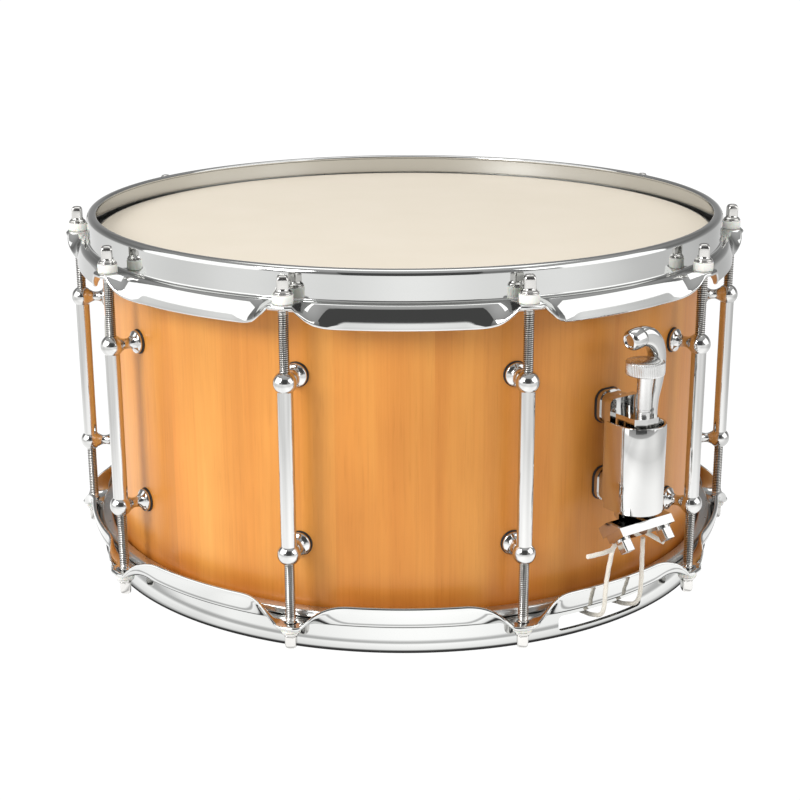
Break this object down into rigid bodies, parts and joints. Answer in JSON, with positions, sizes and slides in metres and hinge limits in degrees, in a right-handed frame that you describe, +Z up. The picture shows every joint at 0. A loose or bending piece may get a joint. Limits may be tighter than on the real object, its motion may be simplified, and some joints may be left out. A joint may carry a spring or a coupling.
{
  "type": "snare drum",
  "caption": "Shallow wooden snare drum with tube lugs, chromed bent-sheet hoops, a coated head, a hooked lever strainer, butt plate and snare wires.",
  "frame": {"origin": "on the drum's axis, on the surface that the lower hoop rests on", "axes": "+Z up along the drum axis, -Y towards the front, the strainer 36 degrees from the front towards +X"},
  "size_m": [0.396, 0.3798, 0.202],
  "materials": {
    "shell_wood": "solid maple staves, honey satin lacquer",
    "badge_metal": "satin nickel oval plate",
    "vent_chrome": "polished chrome",
    "hoop_chrome": "polished chrome",
    "batter_coating": "cream coated film, fine texture",
    "snare_film": "thin clear hazy film",
    "flesh_aluminium": "rolled aluminium",
    "lug_chrome": "polished chrome",
    "black_gasket": "matt black",
    "plated_screw": "zinc plated",
    "nylon_white": "white nylon",
    "rod_steel": "plated steel, threaded",
    "strainer_chrome": "polished chrome",
    "knob_chrome": "chrome with knurled rim",
    "snare_steel": "coiled wire",
    "snare_brass": "plated brass strip",
    "cord_white": "braided off-white cord"
  },
  "bodies": {
    "drum": {"badge": "badge_metal", "batter_head": "batter_coating", "batter_head_ring": "flesh_aluminium", "bottom_hoop": "hoop_chrome", "butt_base": "strainer_chrome", "butt_clamp_plate": "strainer_chrome", "butt_clamp_screws": "rod_steel", "butt_cord_left": "cord_white", "butt_cord_right": "cord_white", "butt_gaskets": "black_gasket", "butt_screws": "plated_screw", "lug_gaskets": "black_gasket", "lug_posts": "lug_chrome", "lug_screw_washers": "plated_screw", "lug_screws": "plated_screw", "lug_tubes": "lug_chrome", "rod_nylon_washers": "nylon_white", "rod_steel_washers": "rod_steel", "shell": "shell_wood", "snare_end_plates": "snare_brass", "snare_head": "snare_film", "snare_head_ring": "flesh_aluminium", "snare_wires": "snare_steel", "strainer_base": "strainer_chrome", "strainer_cord_left": "cord_white", "strainer_cord_right": "cord_white", "strainer_gaskets": "black_gasket", "strainer_lever_pin": "rod_steel", "strainer_screws": "plated_screw", "top_hoop": "hoop_chrome", "vent_grommet": "vent_chrome"},
    "lever": {"strainer_lever": "strainer_chrome"},
    "slide": {"strainer_slide": "strainer_chrome"},
    "knob": {"strainer_knob": "knob_chrome"},
    "clamp": {"snare_clamp_block": "strainer_chrome", "snare_clamp_plate": "strainer_chrome", "snare_clamp_screws": "rod_steel"},
    "rod_top_01": {"tension_rod_top_01": "rod_steel"},
    "rod_top_02": {"tension_rod_top_02": "rod_steel"},
    "rod_top_03": {"tension_rod_top_03": "rod_steel"},
    "rod_top_04": {"tension_rod_top_04": "rod_steel"},
    "rod_top_05": {"tension_rod_top_05": "rod_steel"},
    "rod_top_06": {"tension_rod_top_06": "rod_steel"},
    "rod_top_07": {"tension_rod_top_07": "rod_steel"},
    "rod_top_08": {"tension_rod_top_08": "rod_steel"},
    "rod_top_09": {"tension_rod_top_09": "rod_steel"},
    "rod_top_10": {"tension_rod_top_10": "rod_steel"},
    "rod_bottom_01": {"tension_rod_bottom_01": "rod_steel"},
    "rod_bottom_02": {"tension_rod_bottom_02": "rod_steel"},
    "rod_bottom_03": {"tension_rod_bottom_03": "rod_steel"},
    "rod_bottom_04": {"tension_rod_bottom_04": "rod_steel"},
    "rod_bottom_05": {"tension_rod_bottom_05": "rod_steel"},
    "rod_bottom_06": {"tension_rod_bottom_06": "rod_steel"},
    "rod_bottom_07": {"tension_rod_bottom_07": "rod_steel"},
    "rod_bottom_08": {"tension_rod_bottom_08": "rod_steel"},
    "rod_bottom_09": {"tension_rod_bottom_09": "rod_steel"},
    "rod_bottom_10": {"tension_rod_bottom_10": "rod_steel"}
  },
  "joints": [
    {"name": "rod_top_01_turn", "type": "hinge", "parent": "drum", "child": "rod_top_01", "pos_m": [0.05933, -0.1826, 0.171], "axis": [0, 0, 1], "continuous": true},
    {"name": "rod_top_02_turn", "type": "hinge", "parent": "drum", "child": "rod_top_02", "pos_m": [0.15533, -0.11285, 0.171], "axis": [0, 0, 1], "continuous": true},
    {"name": "rod_top_03_turn", "type": "hinge", "parent": "drum", "child": "rod_top_03", "pos_m": [0.192, 0, 0.171], "axis": [0, 0, 1], "continuous": true},
    {"name": "rod_top_04_turn", "type": "hinge", "parent": "drum", "child": "rod_top_04", "pos_m": [0.15533, 0.11285, 0.171], "axis": [0, 0, 1], "continuous": true},
    {"name": "rod_top_05_turn", "type": "hinge", "parent": "drum", "child": "rod_top_05", "pos_m": [0.05933, 0.1826, 0.171], "axis": [0, 0, 1], "continuous": true},
    {"name": "rod_top_06_turn", "type": "hinge", "parent": "drum", "child": "rod_top_06", "pos_m": [-0.05933, 0.1826, 0.171], "axis": [0, 0, 1], "continuous": true},
    {"name": "rod_top_07_turn", "type": "hinge", "parent": "drum", "child": "rod_top_07", "pos_m": [-0.15533, 0.11285, 0.171], "axis": [0, 0, 1], "continuous": true},
    {"name": "rod_top_08_turn", "type": "hinge", "parent": "drum", "child": "rod_top_08", "pos_m": [-0.192, 0, 0.171], "axis": [0, 0, 1], "continuous": true},
    {"name": "rod_top_09_turn", "type": "hinge", "parent": "drum", "child": "rod_top_09", "pos_m": [-0.15533, -0.11285, 0.171], "axis": [0, 0, 1], "continuous": true},
    {"name": "rod_top_10_turn", "type": "hinge", "parent": "drum", "child": "rod_top_10", "pos_m": [-0.05933, -0.1826, 0.171], "axis": [0, 0, 1], "continuous": true},
    {"name": "rod_bottom_01_turn", "type": "hinge", "parent": "drum", "child": "rod_bottom_01", "pos_m": [0.05933, -0.1826, 0.031], "axis": [0, 0, 1], "continuous": true},
    {"name": "rod_bottom_02_turn", "type": "hinge", "parent": "drum", "child": "rod_bottom_02", "pos_m": [0.15533, -0.11285, 0.031], "axis": [0, 0, 1], "continuous": true},
    {"name": "rod_bottom_03_turn", "type": "hinge", "parent": "drum", "child": "rod_bottom_03", "pos_m": [0.192, 0, 0.031], "axis": [0, 0, 1], "continuous": true},
    {"name": "rod_bottom_04_turn", "type": "hinge", "parent": "drum", "child": "rod_bottom_04", "pos_m": [0.15533, 0.11285, 0.031], "axis": [0, 0, 1], "continuous": true},
    {"name": "rod_bottom_05_turn", "type": "hinge", "parent": "drum", "child": "rod_bottom_05", "pos_m": [0.05933, 0.1826, 0.031], "axis": [0, 0, 1], "continuous": true},
    {"name": "rod_bottom_06_turn", "type": "hinge", "parent": "drum", "child": "rod_bottom_06", "pos_m": [-0.05933, 0.1826, 0.031], "axis": [0, 0, 1], "continuous": true},
    {"name": "rod_bottom_07_turn", "type": "hinge", "parent": "drum", "child": "rod_bottom_07", "pos_m": [-0.15533, 0.11285, 0.031], "axis": [0, 0, 1], "continuous": true},
    {"name": "rod_bottom_08_turn", "type": "hinge", "parent": "drum", "child": "rod_bottom_08", "pos_m": [-0.192, 0, 0.031], "axis": [0, 0, 1], "continuous": true},
    {"name": "rod_bottom_09_turn", "type": "hinge", "parent": "drum", "child": "rod_bottom_09", "pos_m": [-0.15533, -0.11285, 0.031], "axis": [0, 0, 1], "continuous": true},
    {"name": "rod_bottom_10_turn", "type": "hinge", "parent": "drum", "child": "rod_bottom_10", "pos_m": [-0.05933, -0.1826, 0.031], "axis": [0, 0, 1], "continuous": true},
    {"name": "lever_throw", "type": "hinge", "parent": "drum", "child": "lever", "pos_m": [0.11844, -0.16302, 0.08], "axis": [0.809, 0.5878, 0], "range_deg": [0, 80]},
    {"name": "strainer_drop", "type": "slide", "parent": "drum", "child": "slide", "axis": [0, 0, -1], "range_m": [0, 0.01001], "deforming": ["strainer_cord_left", "strainer_cord_right"]},
    {"name": "knob_turn", "type": "hinge", "parent": "slide", "child": "knob", "pos_m": [0.11932, -0.16423, 0.131], "axis": [0, 0, 1], "range_deg": [-361, 1261]},
    {"name": "snare_tension", "type": "slide", "parent": "slide", "child": "clamp", "axis": [0, 0, -1], "range_m": [-0.0008, 0.0028], "deforming": ["strainer_cord_left", "strainer_cord_right"]}
  ],
  "couplings": [
    {"joint": "strainer_drop", "follows": "lever_throw", "m_per_rad": 0.007162},
    {"joint": "knob_turn", "follows": "snare_tension", "rad_per_m": 7854}
  ]
}
